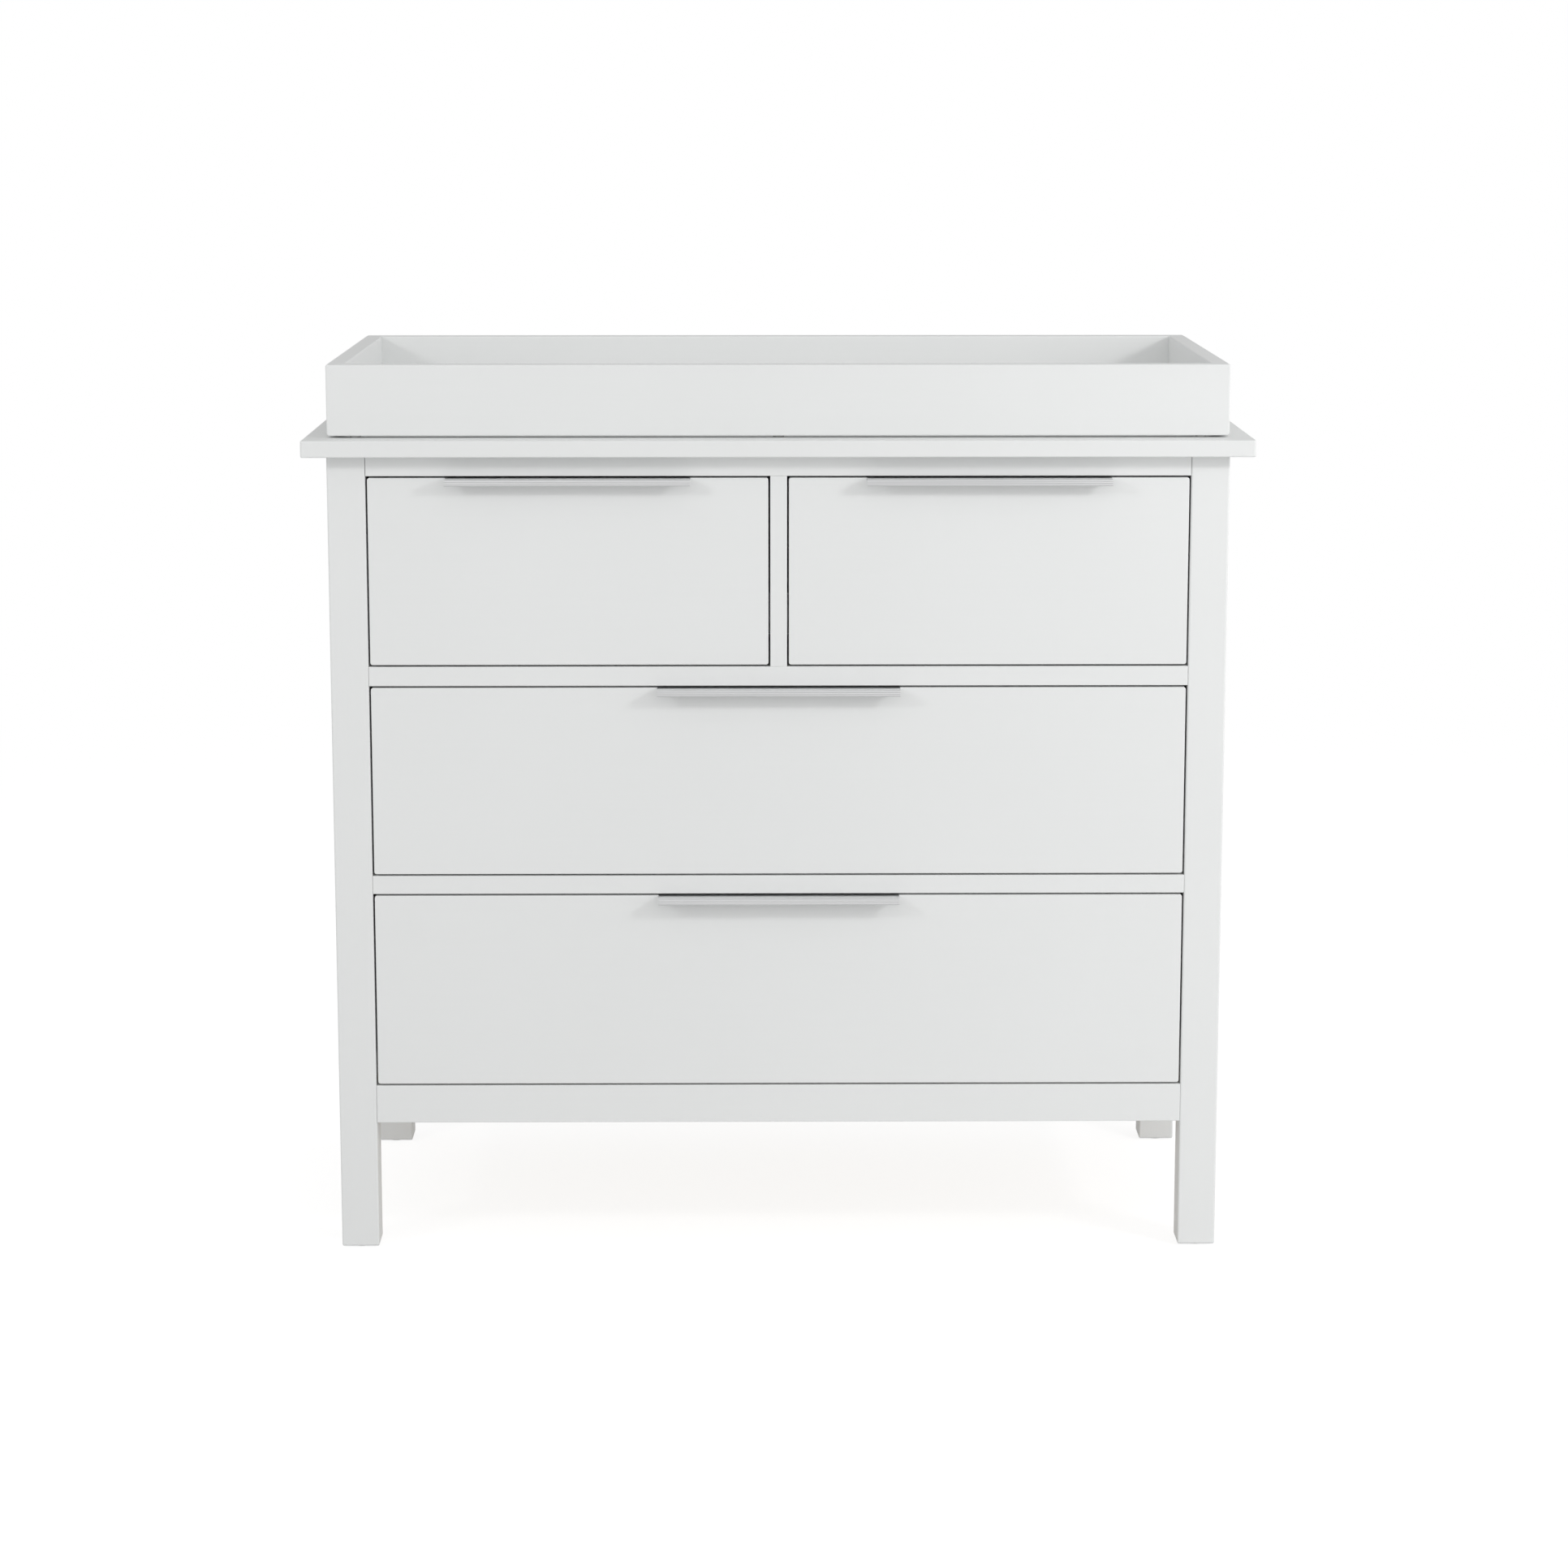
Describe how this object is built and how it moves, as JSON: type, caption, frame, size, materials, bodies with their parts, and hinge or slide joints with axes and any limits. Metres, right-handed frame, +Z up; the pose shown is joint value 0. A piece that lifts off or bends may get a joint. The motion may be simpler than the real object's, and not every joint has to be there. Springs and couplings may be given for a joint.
{
  "type": "changing table",
  "caption": "White changing table: a dresser on square legs with wide drawers, strip pulls and a low open tray on its top for a changing pad.",
  "frame": {"origin": "on the floor, below the middle of the top panel", "axes": "+X to the right across the front, +Y from the front to the back, +Z up"},
  "size_m": [1.016, 0.51, 0.974],
  "materials": {
    "white_paint": "satin white lacquer",
    "bare_wood": "planed softwood",
    "drawer_board": "clear-coated birch ply",
    "back_board": "white foil on hardboard",
    "satin_aluminium": "satin anodised",
    "steel": "zinc plated",
    "nylon": "moulded nylon",
    "rubber_pad": "soft grey rubber"
  },
  "bodies": {
    "cabinet": {"top_panel": "white_paint", "front_left_leg": "white_paint", "front_right_leg": "white_paint", "rear_left_leg": "white_paint", "rear_right_leg": "white_paint", "foot_glides": "nylon", "front_top_rail": "white_paint", "lower_divider_rail": "white_paint", "front_bottom_rail": "white_paint", "rear_top_rail": "white_paint", "rear_bottom_rail": "white_paint", "upper_shelf": "white_paint", "centre_partition": "white_paint", "left_side_panel": "white_paint", "right_side_panel": "white_paint", "back_panel": "back_board", "corner_blocks": "bare_wood", "slide_battens": "bare_wood", "wall_anchors": "steel", "cabinet_slides": "steel", "back_panel_screws": "steel"},
    "upper_left_drawer": {"upper_left_drawer_front": "white_paint", "upper_left_drawer_left_side": "drawer_board", "upper_left_drawer_right_side": "drawer_board", "upper_left_drawer_back": "drawer_board", "upper_left_drawer_bottom": "drawer_board", "upper_left_drawer_pull": "satin_aluminium", "upper_left_drawer_slide_inners": "steel"},
    "upper_left_drawer_slides": {"upper_left_drawer_slide_middles": "steel"},
    "upper_right_drawer": {"upper_right_drawer_front": "white_paint", "upper_right_drawer_left_side": "drawer_board", "upper_right_drawer_right_side": "drawer_board", "upper_right_drawer_back": "drawer_board", "upper_right_drawer_bottom": "drawer_board", "upper_right_drawer_pull": "satin_aluminium", "upper_right_drawer_slide_inners": "steel"},
    "upper_right_drawer_slides": {"upper_right_drawer_slide_middles": "steel"},
    "middle_drawer": {"middle_drawer_front": "white_paint", "middle_drawer_left_side": "drawer_board", "middle_drawer_right_side": "drawer_board", "middle_drawer_back": "drawer_board", "middle_drawer_bottom": "drawer_board", "middle_drawer_pull": "satin_aluminium", "middle_drawer_slide_inners": "steel"},
    "middle_drawer_slides": {"middle_drawer_slide_middles": "steel"},
    "lower_drawer": {"lower_drawer_front": "white_paint", "lower_drawer_left_side": "drawer_board", "lower_drawer_right_side": "drawer_board", "lower_drawer_back": "drawer_board", "lower_drawer_bottom": "drawer_board", "lower_drawer_pull": "satin_aluminium", "lower_drawer_slide_inners": "steel"},
    "lower_drawer_slides": {"lower_drawer_slide_middles": "steel"},
    "tray": {"tray_front": "white_paint", "tray_back": "white_paint", "tray_left": "white_paint", "tray_right": "white_paint", "tray_pads": "rubber_pad", "tray_brackets": "steel", "tray_screws": "steel"}
  },
  "joints": [
    {"name": "upper_left_drawer_travel", "type": "slide", "parent": "cabinet", "child": "upper_left_drawer", "axis": [0, -1, 0], "range_m": [0, 0.4]},
    {"name": "upper_left_drawer_slides_travel", "type": "slide", "parent": "cabinet", "child": "upper_left_drawer_slides", "axis": [0, -1, 0], "range_m": [0, 0.2]},
    {"name": "upper_right_drawer_travel", "type": "slide", "parent": "cabinet", "child": "upper_right_drawer", "axis": [0, -1, 0], "range_m": [0, 0.4]},
    {"name": "upper_right_drawer_slides_travel", "type": "slide", "parent": "cabinet", "child": "upper_right_drawer_slides", "axis": [0, -1, 0], "range_m": [0, 0.2]},
    {"name": "middle_drawer_travel", "type": "slide", "parent": "cabinet", "child": "middle_drawer", "axis": [0, -1, 0], "range_m": [0, 0.4]},
    {"name": "middle_drawer_slides_travel", "type": "slide", "parent": "cabinet", "child": "middle_drawer_slides", "axis": [0, -1, 0], "range_m": [0, 0.2]},
    {"name": "lower_drawer_travel", "type": "slide", "parent": "cabinet", "child": "lower_drawer", "axis": [0, -1, 0], "range_m": [0, 0.4]},
    {"name": "lower_drawer_slides_travel", "type": "slide", "parent": "cabinet", "child": "lower_drawer_slides", "axis": [0, -1, 0], "range_m": [0, 0.2]},
    {"name": "tray_lift", "type": "slide", "parent": "cabinet", "child": "tray", "axis": [0, 0, 1], "range_m": [0, 0.12]}
  ],
  "couplings": [
    {"joint": "upper_left_drawer_slides_travel", "follows": "upper_left_drawer_travel", "ratio": 0.5},
    {"joint": "upper_right_drawer_slides_travel", "follows": "upper_right_drawer_travel", "ratio": 0.5},
    {"joint": "middle_drawer_slides_travel", "follows": "middle_drawer_travel", "ratio": 0.5},
    {"joint": "lower_drawer_slides_travel", "follows": "lower_drawer_travel", "ratio": 0.5}
  ]
}
